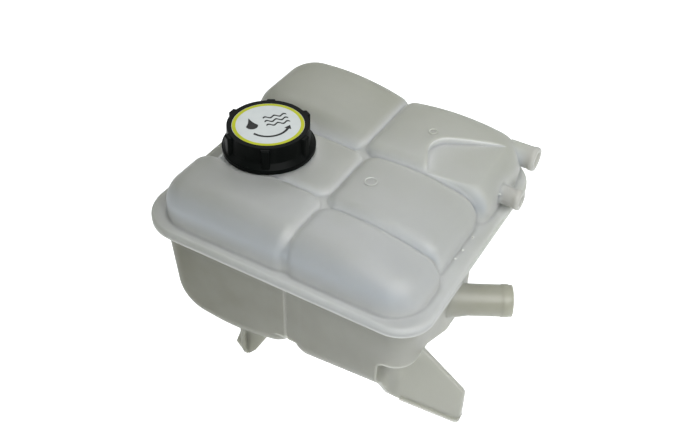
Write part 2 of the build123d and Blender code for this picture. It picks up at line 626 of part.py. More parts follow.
def cap_shell():
    """Screw cap: flared skirt on a collar, grip lugs, label recess and snap lip for the valve insert."""
    collar = CAP_BASE + CAP_COLLAR_HEIGHT
    flare = CAP_BASE + CAP_FLARE_HEIGHT
    lip = CAP_BORE_RADIUS - CAP_LIP_REACH
    lip_top = HOUSING_SEAT - CAP_PLAY
    recess = LABEL_RADIUS + LABEL_CLEARANCE
    body = turned(
        (0, CAP_CEILING), (CAP_BORE_RADIUS, CAP_CEILING), (CAP_BORE_RADIUS, lip_top), (lip, lip_top),
        (lip, lip_top - CAP_LIP_HEIGHT / 2), (CAP_BORE_RADIUS, lip_top - CAP_LIP_HEIGHT),
        (CAP_BORE_RADIUS, CAP_BASE), (CAP_COLLAR_RADIUS, CAP_BASE),
        (CAP_COLLAR_RADIUS, collar), (CAP_FLARE_RADIUS, collar), (CAP_SKIRT_RADIUS, flare),
        (CAP_CROWN_RADIUS, CAP_TOP), (recess, CAP_TOP),
        (recess, LABEL_FLOOR), (0, LABEL_FLOOR))
    root = CAP_BORE_RADIUS + CAP_RIM_ROUND
    foot = CAP_BASE + CAP_RIM_ROUND
    outline = make_face(Polyline((root, -LUG_ROOT_WIDTH / 2), (LUG_RADIUS, -LUG_TIP_WIDTH / 2),
                                 (LUG_RADIUS, LUG_TIP_WIDTH / 2), (root, LUG_ROOT_WIDTH / 2), close=True))
    lug = extrude(Pos(0, 0, foot) * outline, amount=CAP_TOP - CAP_RIM_ROUND / 2 - foot)
    tip = lug.edges().filter_by(lambda edge: edge.center().X > LUG_RADIUS - LUG_ROUND / 2
                                and edge.center().Z > collar)
    lug = fillet(tip, LUG_ROUND)
    for spot in PolarLocations(0, LUG_COUNT):
        body += spot * lug
    return body


def valve_housing():
    """Flanged cup that plugs the neck, with a seal groove and a raised valve seat."""
    ring = NECK_TOP - RING_DEPTH
    groove = HOUSING_RADIUS - RING_GROOVE_DEPTH
    flange_radius = CAP_BORE_RADIUS - HOUSING_CLEARANCE
    return turned(
        (HOUSING_PORT_RADIUS, HOUSING_BASE), (HOUSING_RADIUS - SEAT_WIDTH, HOUSING_BASE),
        (HOUSING_RADIUS, HOUSING_BASE + SEAT_WIDTH), (HOUSING_RADIUS, ring - RING_GROOVE_WIDTH / 2),
        (groove, ring - RING_GROOVE_WIDTH / 2), (groove, ring + RING_GROOVE_WIDTH / 2),
        (HOUSING_RADIUS, ring + RING_GROOVE_WIDTH / 2), (HOUSING_RADIUS, HOUSING_SEAT),
        (flange_radius, HOUSING_SEAT), (flange_radius, HOUSING_TOP), (RETAINER_RADIUS, HOUSING_TOP),
        (RETAINER_RADIUS, RETAINER_Z), (HOUSING_BORE, RETAINER_Z), (HOUSING_BORE, CHAMBER_FLOOR),
        (HOUSING_PORT_RADIUS + SEAT_WIDTH, CHAMBER_FLOOR), (HOUSING_PORT_RADIUS + SEAT_WIDTH, SEAT_TOP),
        (HOUSING_PORT_RADIUS, SEAT_TOP))


def neck_seal():
    """Square-cut sealing ring in the housing's groove, just clear of the neck bore."""
    inner = HOUSING_RADIUS - RING_GROOVE_DEPTH
    outer = NECK_BORE_RADIUS - RING_CLEARANCE
    low = NECK_TOP - RING_DEPTH - RING_HEIGHT / 2
    high = low + RING_HEIGHT
    return turned((inner, low), (outer - RING_CHAMFER, low), (outer, low + RING_CHAMFER),
                  (outer, high - RING_CHAMFER), (outer - RING_CHAMFER, high), (inner, high))


def spring_retainer():
    """Vented disc on the housing's ledge."""
    disc = extrude(Circle(RETAINER_RADIUS - RETAINER_CLEARANCE), amount=RETAINER_THICKNESS)
    disc -= extrude(Circle(RETAINER_HOLE_RADIUS), amount=RETAINER_THICKNESS)
    for spot in PolarLocations((RETAINER_HOLE_RADIUS + HOUSING_BORE) / 2, RETAINER_VENTS):
        disc -= spot * extrude(Circle(RETAINER_VENT_RADIUS), amount=RETAINER_THICKNESS)
    return Pos(0, 0, RETAINER_Z) * disc


def pressure_plate():
    """Plate with a guide hub for the poppet's stem."""
    bore = STEM_RADIUS + STEM_CLEARANCE
    return turned((bore, PLATE_Z), (PLATE_RADIUS, PLATE_Z), (PLATE_RADIUS, PLATE_TOP),
                  (HUB_RADIUS, PLATE_TOP), (HUB_RADIUS, HUB_TOP), (bore, HUB_TOP))


def pressure_seal():
    """Flat rubber ring under the plate."""
    return turned((SEAL_HOLE_RADIUS, SEAL_Z), (SEAL_RADIUS, SEAL_Z), (SEAL_RADIUS, PLATE_Z),
                  (SEAL_HOLE_RADIUS, PLATE_Z))


def vacuum_poppet():
    """Disc under the seal, on a stem that ends in a small spring cap."""
    disc_base = POPPET_TOP - POPPET_THICKNESS
    cap_top = POPPET_CAP_Z + POPPET_CAP_THICKNESS
    return turned((0, disc_base), (POPPET_RADIUS, disc_base), (POPPET_RADIUS, POPPET_TOP),
                  (STEM_RADIUS, POPPET_TOP), (STEM_RADIUS, POPPET_CAP_Z),
                  (POPPET_CAP_RADIUS, POPPET_CAP_Z), (POPPET_CAP_RADIUS, cap_top), (0, cap_top))


def coil(radius, wire, turns, z0, z1):
    """Open coil spring of square wire between two heights."""
    height = z1 - z0 - wire
    path = Pos(0, 0, z0 + wire / 2) * Helix(pitch=height / turns, height=height, radius=radius)
    section = Plane(origin=path @ 0, x_dir=(1, 0, 0), z_dir=path % 0) * Rectangle(wire, wire)
    return sweep(section, path=path, is_frenet=True)


INSERT = Pos(NECK_X, NECK_Y, 0)
LABEL = extrude(Pos(0, 0, LABEL_FLOOR) * Circle(LABEL_RADIUS), amount=LABEL_THICKNESS)
PRESSURE_COIL = coil(SPRING_RADIUS, SPRING_WIRE, SPRING_TURNS, PLATE_TOP + SPRING_GAP,
                     RETAINER_Z - SPRING_GAP)
VACUUM_COIL = coil(SMALL_SPRING_RADIUS, SMALL_SPRING_WIRE, SMALL_SPRING_TURNS, HUB_TOP + SPRING_GAP,
                   POPPET_CAP_Z - SPRING_GAP)
PIECES = {
    "upper_shell": upper_shell(),
    "lower_shell": lower_shell(),
    "cap_shell": INSERT * cap_shell(),
    "cap_label": INSERT * LABEL,
    "valve_housing": INSERT * valve_housing(),
    "neck_seal": INSERT * neck_seal(),
    "spring_retainer": INSERT * spring_retainer(),
    "pressure_plate": INSERT * pressure_plate(),
    "pressure_seal": INSERT * pressure_seal(),
    "vacuum_poppet": INSERT * vacuum_poppet(),
    "pressure_spring": INSERT * PRESSURE_COIL,
    "vacuum_spring": INSERT * VACUUM_COIL,
}
for name, piece in PIECES.items():
    export_step(piece, f"parts/{name}.step")
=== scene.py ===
"""Coolant expansion tank: finishes, moulded details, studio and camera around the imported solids."""
import logging
import math
from collections.abc import Callable
from dataclasses import dataclass, field, replace
from enum import Enum

import bpy
from mathutils import Matrix, Vector


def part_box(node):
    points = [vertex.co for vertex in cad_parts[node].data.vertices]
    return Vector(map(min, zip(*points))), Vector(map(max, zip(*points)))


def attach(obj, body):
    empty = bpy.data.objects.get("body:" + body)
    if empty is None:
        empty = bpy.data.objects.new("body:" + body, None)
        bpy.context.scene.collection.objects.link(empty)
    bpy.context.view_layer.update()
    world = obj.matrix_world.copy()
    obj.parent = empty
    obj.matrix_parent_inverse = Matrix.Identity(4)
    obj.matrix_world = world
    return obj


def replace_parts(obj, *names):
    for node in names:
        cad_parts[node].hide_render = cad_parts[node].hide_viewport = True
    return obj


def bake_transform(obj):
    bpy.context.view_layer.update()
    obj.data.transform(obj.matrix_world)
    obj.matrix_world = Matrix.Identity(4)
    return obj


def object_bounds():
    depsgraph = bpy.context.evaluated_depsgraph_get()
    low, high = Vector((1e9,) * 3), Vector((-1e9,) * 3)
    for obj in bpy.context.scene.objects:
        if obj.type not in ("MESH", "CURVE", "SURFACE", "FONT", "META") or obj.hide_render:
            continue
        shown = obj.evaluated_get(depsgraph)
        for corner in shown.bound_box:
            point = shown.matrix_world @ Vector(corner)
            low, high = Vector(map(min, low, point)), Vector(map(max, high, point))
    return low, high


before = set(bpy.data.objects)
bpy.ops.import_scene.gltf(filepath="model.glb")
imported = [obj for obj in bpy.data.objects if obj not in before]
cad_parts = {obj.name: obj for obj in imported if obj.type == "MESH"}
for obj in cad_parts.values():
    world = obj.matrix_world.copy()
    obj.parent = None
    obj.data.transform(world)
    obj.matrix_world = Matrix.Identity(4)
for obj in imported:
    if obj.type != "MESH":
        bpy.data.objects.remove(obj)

Colour = tuple[float, float, float]
Point = tuple[float, float, float]
Span = tuple[float, float]
Socket = bpy.types.NodeSocket

CAD_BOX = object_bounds()
LOG = logging.getLogger("expansion_tank")

# Metres: a millimetre, the distances that points are merged over, and how near counts as the same place
MM = 0.001
MERGE = 1e-6
NODE_MERGE = 2e-6
SAME_PLACE = 1e-5

# Least upward part of a level face's normal, and the smoothing angle of round pieces in degrees
LEVEL = 0.9
ROUND_ANGLE = 60.0

# Span of a share, and the octaves of fine noise
SHARE: Span = (0.0, 1.0)
FINE_DETAIL = 2.0


class Body(Enum):
    """Moving groups that a piece can ride on."""

    TANK = "tank"
    CAP = "cap"
    VALVE_UNIT = "valve_unit"
    PRESSURE_VALVE = "pressure_valve"
    VACUUM_VALVE = "vacuum_valve"


class Slot(Enum):
    """Names of material slots in the record."""

    TANK_PLASTIC = "tank_plastic"
    LABEL = "label"
    SPRING_STEEL = "spring_steel"


class Axis(Enum):
    """Axes of the shared frame: to the right, to the back and up."""

    X = "X"
    Y = "Y"
    Z = "Z"


class Blend(Enum):
    """Ways to blend two colours."""

    MIX = "MIX"
    MULTIPLY = "MULTIPLY"


class Sum(Enum):
    """Ways to work out one value from two."""

    ADD = "ADD"
    MULTIPLY = "MULTIPLY"


class Modeller:
    """Edit-mode steps shared by all the pieces, each run on a clean selection."""

    @staticmethod
    def deselect() -> None:
        """Leaves nothing selected and no active object."""
        if bpy.context.object and bpy.context.object.mode != "OBJECT":
            bpy.ops.object.mode_set(mode="OBJECT")
        bpy.ops.object.select_all(action="DESELECT")
        bpy.context.view_layer.objects.active = None

    @staticmethod
    def pick(piece: bpy.types.Object) -> None:
        """Makes one object the only one selected, and active.

        Args:
            piece: Object to pick.
        """
        Modeller.deselect()
        piece.select_set(True)
        bpy.context.view_layer.objects.active = piece

    @staticmethod
    def named(name: str) -> bpy.types.Object:
        """Gives the active object and its mesh a name.

        Args:
            name: New name of both.

        Returns:
            The active object.
        """
        piece = bpy.context.object
        piece.name = name
        piece.data.name = name
        return piece

    @staticmethod
    def copy(piece: bpy.types.Object, name: str) -> bpy.types.Object:
        """Copies a piece, with a mesh of its own.

        Args:
            piece: Object to copy.
            name: Name of the copy.

        Returns:
            The copy, which is active.
        """
        Modeller.pick(piece)
        bpy.ops.object.duplicate()
        return Modeller.named(name)

    @staticmethod
    def copy_node(node: str, name: str) -> bpy.types.Object:
        """Copies a CAD node as a free piece with its points merged, and hides the node.

        Args:
            node: Name of the node.
            name: Name of the new piece.

        Returns:
            The copy, which stands for the node.
        """
        piece = Modeller.copy(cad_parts[node], name)
        piece.parent = None
        for key in [key for key in piece.keys() if key.startswith("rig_")]:
            del piece[key]
        bpy.ops.object.mode_set(mode="EDIT")
        bpy.ops.mesh.select_all(action="SELECT")
        bpy.ops.mesh.remove_doubles(threshold=NODE_MERGE)
        bpy.ops.object.mode_set(mode="OBJECT")
        bpy.ops.mesh.customdata_custom_splitnormals_clear()
        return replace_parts(piece, node)

    @staticmethod
    def select_faces(piece: bpy.types.Object, chosen: Callable[[bpy.types.MeshPolygon], bool]) -> None:
        """Selects, in edit mode, the faces that a test picks.

        Args:
            piece: Object in edit mode.
            chosen: Test that takes a face of the mesh and says whether it is selected.
        """
        bpy.ops.mesh.select_mode(type="FACE")
        bpy.ops.mesh.select_all(action="DESELECT")
        bpy.ops.object.mode_set(mode="OBJECT")
        for face in piece.data.polygons:
            face.select = chosen(face)
        bpy.ops.object.mode_set(mode="EDIT")

    @staticmethod
    def select_points(piece: bpy.types.Object, chosen: Callable[[bpy.types.MeshVertex], bool]) -> None:
        """Selects, in edit mode, the vertices that a test picks.

        Args:
            piece: Object in edit mode.
            chosen: Test that takes a vertex of the mesh and says whether it is selected.
        """
        bpy.ops.mesh.select_mode(type="VERT")
        bpy.ops.mesh.select_all(action="DESELECT")
        bpy.ops.object.mode_set(mode="OBJECT")
        for point in piece.data.vertices:
            point.select = chosen(point)
        bpy.ops.object.mode_set(mode="EDIT")

    @staticmethod
    def inset_steps(profile: tuple[Span, ...], width: float, height: float) -> None:
        """Insets the selected faces step by step, and lifts or sinks each step.

        Args:
            profile: Share of the width to inset by and share of the height to lift by, for each step.
            width: Whole width in metres.
            height: Whole height in metres.
        """
        for share, lift in profile:
            bpy.ops.mesh.inset(thickness=share * width, depth=0.0)
            bpy.ops.transform.translate(value=(0.0, 0.0, lift * height))

    @staticmethod
    def close() -> None:
        """Merges doubles, closes holes, turns the faces outwards and leaves edit mode."""
        bpy.ops.mesh.select_mode(type="VERT")
        bpy.ops.mesh.select_all(action="SELECT")
        bpy.ops.mesh.remove_doubles(threshold=MERGE)
        bpy.ops.mesh.fill_holes(sides=0)
        bpy.ops.mesh.select_all(action="SELECT")
        bpy.ops.mesh.normals_make_consistent(inside=False)
        bpy.ops.object.mode_set(mode="OBJECT")

    @staticmethod
    def place(piece: bpy.types.Object, matrix: Matrix) -> None:
        """Moves a piece and keeps the move in its mesh.

        Args:
            piece: Object to move.
            matrix: Move from where it is now.
        """
        Modeller.pick(piece)
        piece.matrix_world = matrix @ piece.matrix_world
        bpy.ops.object.transform_apply(location=True, rotation=True, scale=True)

    @staticmethod
    def smooth(piece: bpy.types.Object, degrees: float) -> None:
        """Shades a piece smooth over edges flatter than an angle."""
        Modeller.pick(piece)
        bpy.ops.object.shade_smooth_by_angle(angle=math.radians(degrees))


class Shader:
    """Node tree of one material, grown by small steps."""

    MIX_INPUTS = (6, 7)
    MIX_RESULT = 2

    def __init__(self, name: str) -> None:
        """Starts a material with one Principled shader.

        Args:
            name: Name of the material.
        """
        self.material = bpy.data.materials.new(name)
        self.material.use_nodes = True
        self.tree = self.material.node_tree
        self.surface = self.tree.nodes["Principled BSDF"]
        self.place = self.tree.nodes.new("ShaderNodeTexCoord").outputs["Object"]

    def node(self, kind: str, sockets: dict[str | int, object] | None = None,
             **options: object) -> bpy.types.Node:
        """Adds a node.

        Args:
            kind: Type of the node.
            sockets: Values of input sockets, by name or number.
            options: Values of the node's own settings.

        Returns:
            The new node.
        """
        made = self.tree.nodes.new(kind)
        for key, value in options.items():
            setattr(made, key, value)
        for key, value in (sockets or {}).items():
            made.inputs[key].default_value = value
        return made

    def link(self, source: Socket, target: Socket) -> None:
        """Joins an output to an input."""
        self.tree.links.new(source, target)

    def dye(self, tone: Socket) -> None:
        """Takes the base colour from an output."""
        self.link(tone, self.surface.inputs["Base Color"])

    def polish(self, roughness: Socket) -> None:
        """Takes the roughness from an output."""
        self.link(roughness, self.surface.inputs["Roughness"])

    def noise(self, scale: float, detail: float, stretch: Point = (1.0, 1.0, 1.0)) -> Socket:
        """Noise on object coordinates.

        Args:
            scale: Features per metre.
            detail: Octaves of finer noise.
            stretch: Scale of the pattern along each axis.

        Returns:
            Output socket with values about 0.5.
        """
        mapping = self.node("ShaderNodeMapping", {"Scale": stretch})
        self.link(self.place, mapping.inputs["Vector"])
        made = self.node("ShaderNodeTexNoise", {"Scale": scale, "Detail": detail})
        self.link(mapping.outputs["Vector"], made.inputs["Vector"])
        return made.outputs["Fac"]

    def span(self, source: Socket, ends: Span, to: Span = SHARE) -> Socket:
        """Maps a value from one span to another, clamped.

        Args:
            source: Value to map.
            ends: Values that map to the ends of the new span.
            to: Ends of the new span.

        Returns:
            Output socket of the mapped value.
        """
        made = self.node("ShaderNodeMapRange", {"From Min": ends[0], "From Max": ends[1],
                                                "To Min": to[0], "To Max": to[1]})
        self.link(source, made.inputs["Value"])
        return made.outputs["Result"]

    def swing(self, source: Socket, ends: Span, middle: float, by: Span) -> Socket:
        """Lets a value swing about a middle as another runs over a span, and returns its socket."""
        return self.span(source, ends, (middle + by[0], middle + by[1]))

    def axis(self, way: Axis, vector: Socket | None = None) -> Socket:
        """Part of a vector along one axis.

        Args:
            way: Axis to measure along.
            vector: Vector socket, or none for the place in metres.

        Returns:
            Output socket of that part.
        """
        split = self.node("ShaderNodeSeparateXYZ")
        self.link(vector or self.place, split.inputs["Vector"])
        return split.outputs[way.value]

    def combine(self, operation: Sum, first: Socket, second: Socket, clamp: bool = False) -> Socket:
        """Works out one value from two.

        Args:
            operation: Kind of sum.
            first: First value.
            second: Second value.
            clamp: Whether the result stays between 0 and 1.

        Returns:
            Output socket of the result.
        """
        made = self.node("ShaderNodeMath", operation=operation.value, use_clamp=clamp)
        self.link(first, made.inputs[0])
        self.link(second, made.inputs[1])
        return made.outputs[0]

    def add(self, first: Socket, second: Socket, clamp: bool = False) -> Socket:
        """Adds two values, kept between 0 and 1 if asked."""
        return self.combine(Sum.ADD, first, second, clamp)

    def times(self, first: Socket, second: Socket) -> Socket:
        """Multiplies two values."""
        return self.combine(Sum.MULTIPLY, first, second)

    def mix(self, factor: Socket, first: Socket | Colour, second: Colour,
            blend: Blend = Blend.MIX) -> Socket:
        """Blends two colours.

        Args:
            factor: Share of the second colour.
            first: Socket or plain colour.
            second: Plain colour.
            blend: Way of blending.

        Returns:
            Output socket of the blend.
        """
        made = self.node("ShaderNodeMix", data_type="RGBA", blend_type=blend.value)
        self.link(factor, made.inputs["Factor"])
        start, end = (made.inputs[number] for number in self.MIX_INPUTS)
        end.default_value = (*second, 1.0)
        if isinstance(first, tuple):
            start.default_value = (*first, 1.0)
        else:
            self.link(first, start)
        return made.outputs[self.MIX_RESULT]

    def bump(self, source: Socket, strength: float, depth: float, normal: Socket | None = None) -> None:
        """Adds a bump to the surface normal.

        Args:
            source: Height socket.
            strength: Share of the effect.
            depth: Depth of the relief in metres.
            normal: Normal socket to start from, if any.
        """
        made = self.node("ShaderNodeBump", {"Strength": strength, "Distance": depth})
        self.link(source, made.inputs["Height"])
        if normal is not None:
            self.link(normal, made.inputs["Normal"])
        self.link(made.outputs["Normal"], self.surface.inputs["Normal"])

    def set(self, **values: float | tuple) -> None:
        """Sets sockets of the Principled shader by name, with underscores for blanks."""
        for key, value in values.items():
            self.surface.inputs[key.replace("_", " ")].default_value = value


@dataclass(frozen=True)
class Polypropylene:
    """Milky natural plastic that lets some light through.

    The tone runs from a shaded end to a lit end of the moulding, which is painted shade and light, and it
    is darker and warmer towards the back, a painted shade. Folds get a paler painted glow, slopes that face
    the front get a cooler painted shade, and the pipe stubs are smoother. Places and depths are in metres,
    and a span goes from where an effect starts to where it is full.
    """

    name: str
    far: Colour
    near: Colour
    fold_glow: Colour
    slope_shade: Colour
    stub: Colour
    run: tuple[Point, Point]
    stub_x: Span
    stub_axis: Axis
    stub_side: Span
    glow_z: Span
    back_shade_tint: Colour = (0.97, 0.965, 0.862)
    back_shade_y: Span = (0.020, 0.150)
    slope_band: Point = (0.103, 0.113, 0.130)
    slope_facing: Span = (-0.35, -0.75)
    fold_reach: float = 0.012
    fold_open: Span = (0.98, 0.55)
    fold_samples: int = 8
    edge_round: float = 0.0030
    edge_samples: int = 6
    cloud_scale: float = 26.0
    cloud_detail: float = 3.0
    drift_span: Span = (0.30, 0.70)
    drift: Span = (-0.16, 0.16)
    streak_scale: float = 9.0
    streak_stretch: Point = (0.6, 3.0, 1.6)
    streak_span: Span = (0.35, 0.70)
    streak: Span = (0.06, -0.14)
    roughness: float = 0.45
    gloss_span: Span = (0.35, 0.65)
    gloss: Span = (-0.05, 0.07)
    stub_polish: float = 0.11
    grain_scale: float = 1400.0
    grain: float = 0.06
    grain_depth: float = 0.0002
    scatter: float = 1.0
    scatter_depth: float = 0.012
    scatter_colour: Colour = (1.0, 1.0, 0.92)
    clear: float = 0.25
    refraction: float = 1.49

    def build(self) -> bpy.types.Material:
        """Makes the material.

        Returns:
            The finished material.
        """
        shader = Shader(self.name)
        clouds = shader.noise(self.cloud_scale, self.cloud_detail)
        stub = self.stubs(shader)
        # Painted shade and light: the tone runs from the shaded far tone to the lit near tone.
        tone = shader.mix(self.along(shader, clouds), self.far, self.near)
        # Painted shade: the tone is made darker and warmer towards the back.
        back = shader.span(shader.axis(Axis.Y), self.back_shade_y)
        tone = shader.mix(back, tone, self.back_shade_tint, Blend.MULTIPLY)
        # Painted glow: folds are made paler, standing in for light gathered in them.
        tone = shader.mix(self.painted_fold_glow(shader), tone, self.fold_glow)
        # Painted shade: slopes that face the front are given a cooler tone.
        tone = shader.mix(self.front_slope_shade(shader), tone, self.slope_shade)
        shader.dye(shader.mix(stub, tone, self.stub))
        gloss = shader.swing(clouds, self.gloss_span, self.roughness, self.gloss)
        shader.polish(shader.add(gloss, shader.span(stub, SHARE, (0.0, -self.stub_polish))))
        soft = shader.node("ShaderNodeBevel", {"Radius": self.edge_round}, samples=self.edge_samples)
        grain = shader.noise(self.grain_scale, FINE_DETAIL)
        shader.bump(grain, self.grain, self.grain_depth, soft.outputs["Normal"])
        shader.set(Subsurface_Weight=self.scatter, Subsurface_Radius=self.scatter_colour,
                   Subsurface_Scale=self.scatter_depth, IOR=self.refraction, Transmission_Weight=self.clear)
        return shader.material

    def along(self, shader: Shader, clouds: Socket) -> Socket:
        """Works out how far a point lies along the run, with soft clouds and streaks.

        Args:
            shader: Material that it belongs to.
            clouds: Noise of the clouds.

        Returns:
            Output socket with the share of the lit tone.
        """
        start, stop = (Vector(end) for end in self.run)
        reach = stop - start
        step = shader.node("ShaderNodeVectorMath", {1: start}, operation="SUBTRACT")
        shader.link(shader.place, step.inputs[0])
        share = shader.node("ShaderNodeVectorMath", {1: reach / reach.length_squared},
                            operation="DOT_PRODUCT")
        shader.link(step.outputs["Vector"], share.inputs[0])
        drift = shader.span(clouds, self.drift_span, self.drift)
        streaks = shader.noise(self.streak_scale, FINE_DETAIL, self.streak_stretch)
        streak = shader.span(streaks, self.streak_span, self.streak)
        return shader.add(shader.add(share.outputs["Value"], drift), streak, clamp=True)

    def front_slope_shade(self, shader: Shader) -> Socket:
        """Finds the slopes that face the front, which get a cooler painted shade.

        Args:
            shader: Material that it belongs to.

        Returns:
            Output socket with the share of the cooler painted shade.
        """
        low, middle, high = self.slope_band
        height = shader.axis(Axis.Z)
        band = shader.times(shader.span(height, (low, middle)), shader.span(height, (high, middle)))
        facing = shader.axis(Axis.Y, shader.node("ShaderNodeNewGeometry").outputs["Normal"])
        return shader.times(band, shader.span(facing, self.slope_facing))

    def stubs(self, shader: Shader) -> Socket:
        """Share of the pipe stubs' own tone, as an output socket."""
        outside = shader.span(shader.axis(Axis.X), self.stub_x)
        return shader.times(outside, shader.span(shader.axis(self.stub_axis), self.stub_side))

    def painted_fold_glow(self, shader: Shader) -> Socket:
        """Finds the folds, whose tone is made paler by a painted glow.

        Args:
            shader: Material that it belongs to.

        Returns:
            Output socket with the share of the painted glow.
        """
        crease = shader.node("ShaderNodeAmbientOcclusion", {"Distance": self.fold_reach},
                             samples=self.fold_samples, only_local=True)
        glow = shader.span(crease.outputs["AO"], self.fold_open)
        return shader.times(glow, shader.span(shader.axis(Axis.Z), self.glow_z))


@dataclass(frozen=True)
class MouldedBlack:
    """Black moulded plastic or rubber with scuffs and a fine grain."""

    name: str
    tone: Colour = (0.0026, 0.0033, 0.0030)
    worn: Colour = (0.0055, 0.0063, 0.0059)
    roughness: float = 0.42
    shine: float = 0.04
    scuff_scale: float = 90.0
    scuff_detail: float = 5.0
    scuff_span: Span = (0.48, 0.72)
    scuff: Span = (0.0, 0.8)
    gloss: Span = (-0.06, 0.10)
    grain_scale: float = 2200.0
    grain: float = 0.10
    grain_depth: float = 0.0001

    def build(self) -> bpy.types.Material:
        """Makes the material.

        Returns:
            The finished material.
        """
        shader = Shader(self.name)
        scuffs = shader.span(shader.noise(self.scuff_scale, self.scuff_detail), self.scuff_span, self.scuff)
        shader.dye(shader.mix(scuffs, self.tone, self.worn))
        shader.polish(shader.swing(scuffs, self.scuff, self.roughness, self.gloss))
        shader.bump(shader.noise(self.grain_scale, FINE_DETAIL), self.grain, self.grain_depth)
        shader.set(Specular_IOR_Level=self.shine)
        return shader.material


@dataclass(frozen=True)
class PrintedFilm:
    """Label film or the ink on it, with slight ageing."""

    name: str
    tone: Colour
    aged: Colour
    roughness: float = 0.32
    shine: float = 0.10
    age_scale: float = 160.0
    age_detail: float = 4.0
    age_span: Span = (0.42, 0.75)
    gloss: Span = (0.0, 0.12)
    grain_scale: float = 900.0
    grain: float = 0.05
    grain_depth: float = 0.0001

    def build(self) -> bpy.types.Material:
        """Makes the material.

        Returns:
            The finished material.
        """
        shader = Shader(self.name)
        ageing = shader.span(shader.noise(self.age_scale, self.age_detail), self.age_span)
        shader.dye(shader.mix(ageing, self.tone, self.aged))
        shader.polish(shader.swing(ageing, SHARE, self.roughness, self.gloss))
        shader.bump(shader.noise(self.grain_scale, FINE_DETAIL), self.grain, self.grain_depth)
        shader.set(Specular_IOR_Level=self.shine)
        return shader.material


@dataclass(frozen=True)
class TurnedMetal:
    """Small metal piece with stains and fine turning marks."""

    name: str
    tone: Colour
    dull: Colour
    roughness: float = 0.32
    stain_scale: float = 300.0
    stain_detail: float = 4.0
    stain_span: Span = (0.35, 0.70)
    mark_scale: float = 60.0
    mark_stretch: Point = (1.0, 1.0, 40.0)
    mark_span: Span = (0.3, 0.7)
    gloss: Span = (-0.08, 0.10)
    relief: float = 0.08
    relief_depth: float = 0.00005

    def build(self) -> bpy.types.Material:
        """Makes the material.

        Returns:
            The finished material.
        """
        shader = Shader(self.name)
        stain = shader.span(shader.noise(self.stain_scale, self.stain_detail), self.stain_span)
        shader.dye(shader.mix(stain, self.tone, self.dull))
        marks = shader.noise(self.mark_scale, FINE_DETAIL, self.mark_stretch)
        shader.polish(shader.swing(marks, self.mark_span, self.roughness, self.gloss))
        shader.bump(marks, self.relief, self.relief_depth)
        shader.set(Metallic=1.0)
        return shader.material


Finish = Polypropylene | MouldedBlack | PrintedFilm | TurnedMetal

UPPER_PLASTIC = Polypropylene(
    "upper_polypropylene", far=(0.290, 0.296, 0.268), near=(0.410, 0.423, 0.420),
    fold_glow=(0.63, 0.648, 0.625), slope_shade=(0.386, 0.415, 0.435), stub=(0.395, 0.395, 0.370),
    run=((-0.075, 0.090, 0.100), (0.090, 0.085, 0.100)), stub_x=(0.122, 0.128), stub_axis=Axis.Z,
    stub_side=(0.1005, 0.1025), glow_z=(0.084, 0.106), fold_reach=0.018, edge_round=0.0045)
# Lower shell: the same plastic as the upper shell, with darker tones that are painted shade.
LOWER_PLASTIC = Polypropylene(
    "lower_polypropylene", far=(0.124, 0.123, 0.080), near=(0.336, 0.339, 0.308),
    fold_glow=(0.47, 0.475, 0.435), slope_shade=(0.27, 0.275, 0.25), stub=(0.330, 0.330, 0.274),
    run=((-0.060, 0.0, 0.050), (0.120, 0.0, 0.050)), stub_x=(0.116, 0.138), stub_axis=Axis.Y,
    stub_side=(0.040, 0.045), glow_z=(0.020, 0.030), back_shade_tint=(1.0, 1.0, 0.93))
EMBOSSED_PLASTIC = replace(
    UPPER_PLASTIC, name="embossed_polypropylene", far=(0.38, 0.39, 0.37), near=(0.42, 0.432, 0.425),
    scatter=0.0, clear=0.0, fold_reach=0.0005, edge_round=0.0001)
# Pips: glossier, and paler than the shell, which is a painted glint.
PAINTED_GLINT_PLASTIC = replace(
    EMBOSSED_PLASTIC, name="glossy_polypropylene_painted_glint", far=(0.50, 0.51, 0.49), near=(0.56, 0.57, 0.56),
    roughness=0.28)
CAP_PLASTIC = MouldedBlack("cap_black")
INSERT_PLASTIC = MouldedBlack("insert_black", (0.020, 0.020, 0.022), (0.040, 0.040, 0.042), 0.5, 0.4)
SEAL_RUBBER = MouldedBlack("seal_rubber", (0.014, 0.014, 0.014), (0.035, 0.034, 0.033), 0.7, 0.4)
LABEL_FILM = PrintedFilm("label_film", (0.44, 0.47, 0.465), (0.42, 0.45, 0.45), shine=0.25)
YELLOW_INK = PrintedFilm("yellow_ink", (0.36, 0.39, 0.012), (0.32, 0.34, 0.012))
DARK_INK = PrintedFilm("dark_ink", (0.010, 0.011, 0.011), (0.022, 0.022, 0.022))
VALVE_STEEL = TurnedMetal("valve_steel", (0.58, 0.58, 0.57), (0.42, 0.42, 0.42))
POPPET_BRASS = TurnedMetal("poppet_brass", (0.66, 0.49, 0.20), (0.48, 0.34, 0.14))
SPRING_STEEL = TurnedMetal("spring_steel", (0.50, 0.51, 0.52), (0.36, 0.36, 0.36), 0.25)


def dress(piece: bpy.types.Object, finish: Finish) -> None:
    """Gives a piece one finish all over.

    Args:
        piece: Object to dress.
        finish: Finish whose material is made once and then shared.
    """
    material = bpy.data.materials.get(finish.name) or finish.build()
    piece.data.materials.clear()
    piece.data.materials.append(material)


def fit(piece: bpy.types.Object, finish: Finish, body: Body) -> bpy.types.Object:
    """Dresses a new piece and hangs it on its body.

    Args:
        piece: Finished object.
        finish: Finish that it gets all over.
        body: Moving group that it rides on.

    Returns:
        The same object.
    """
    dress(piece, finish)
    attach(piece, body.value)
    LOG.info("fitted %s: %d faces", piece.name, len(piece.data.polygons))
    return piece


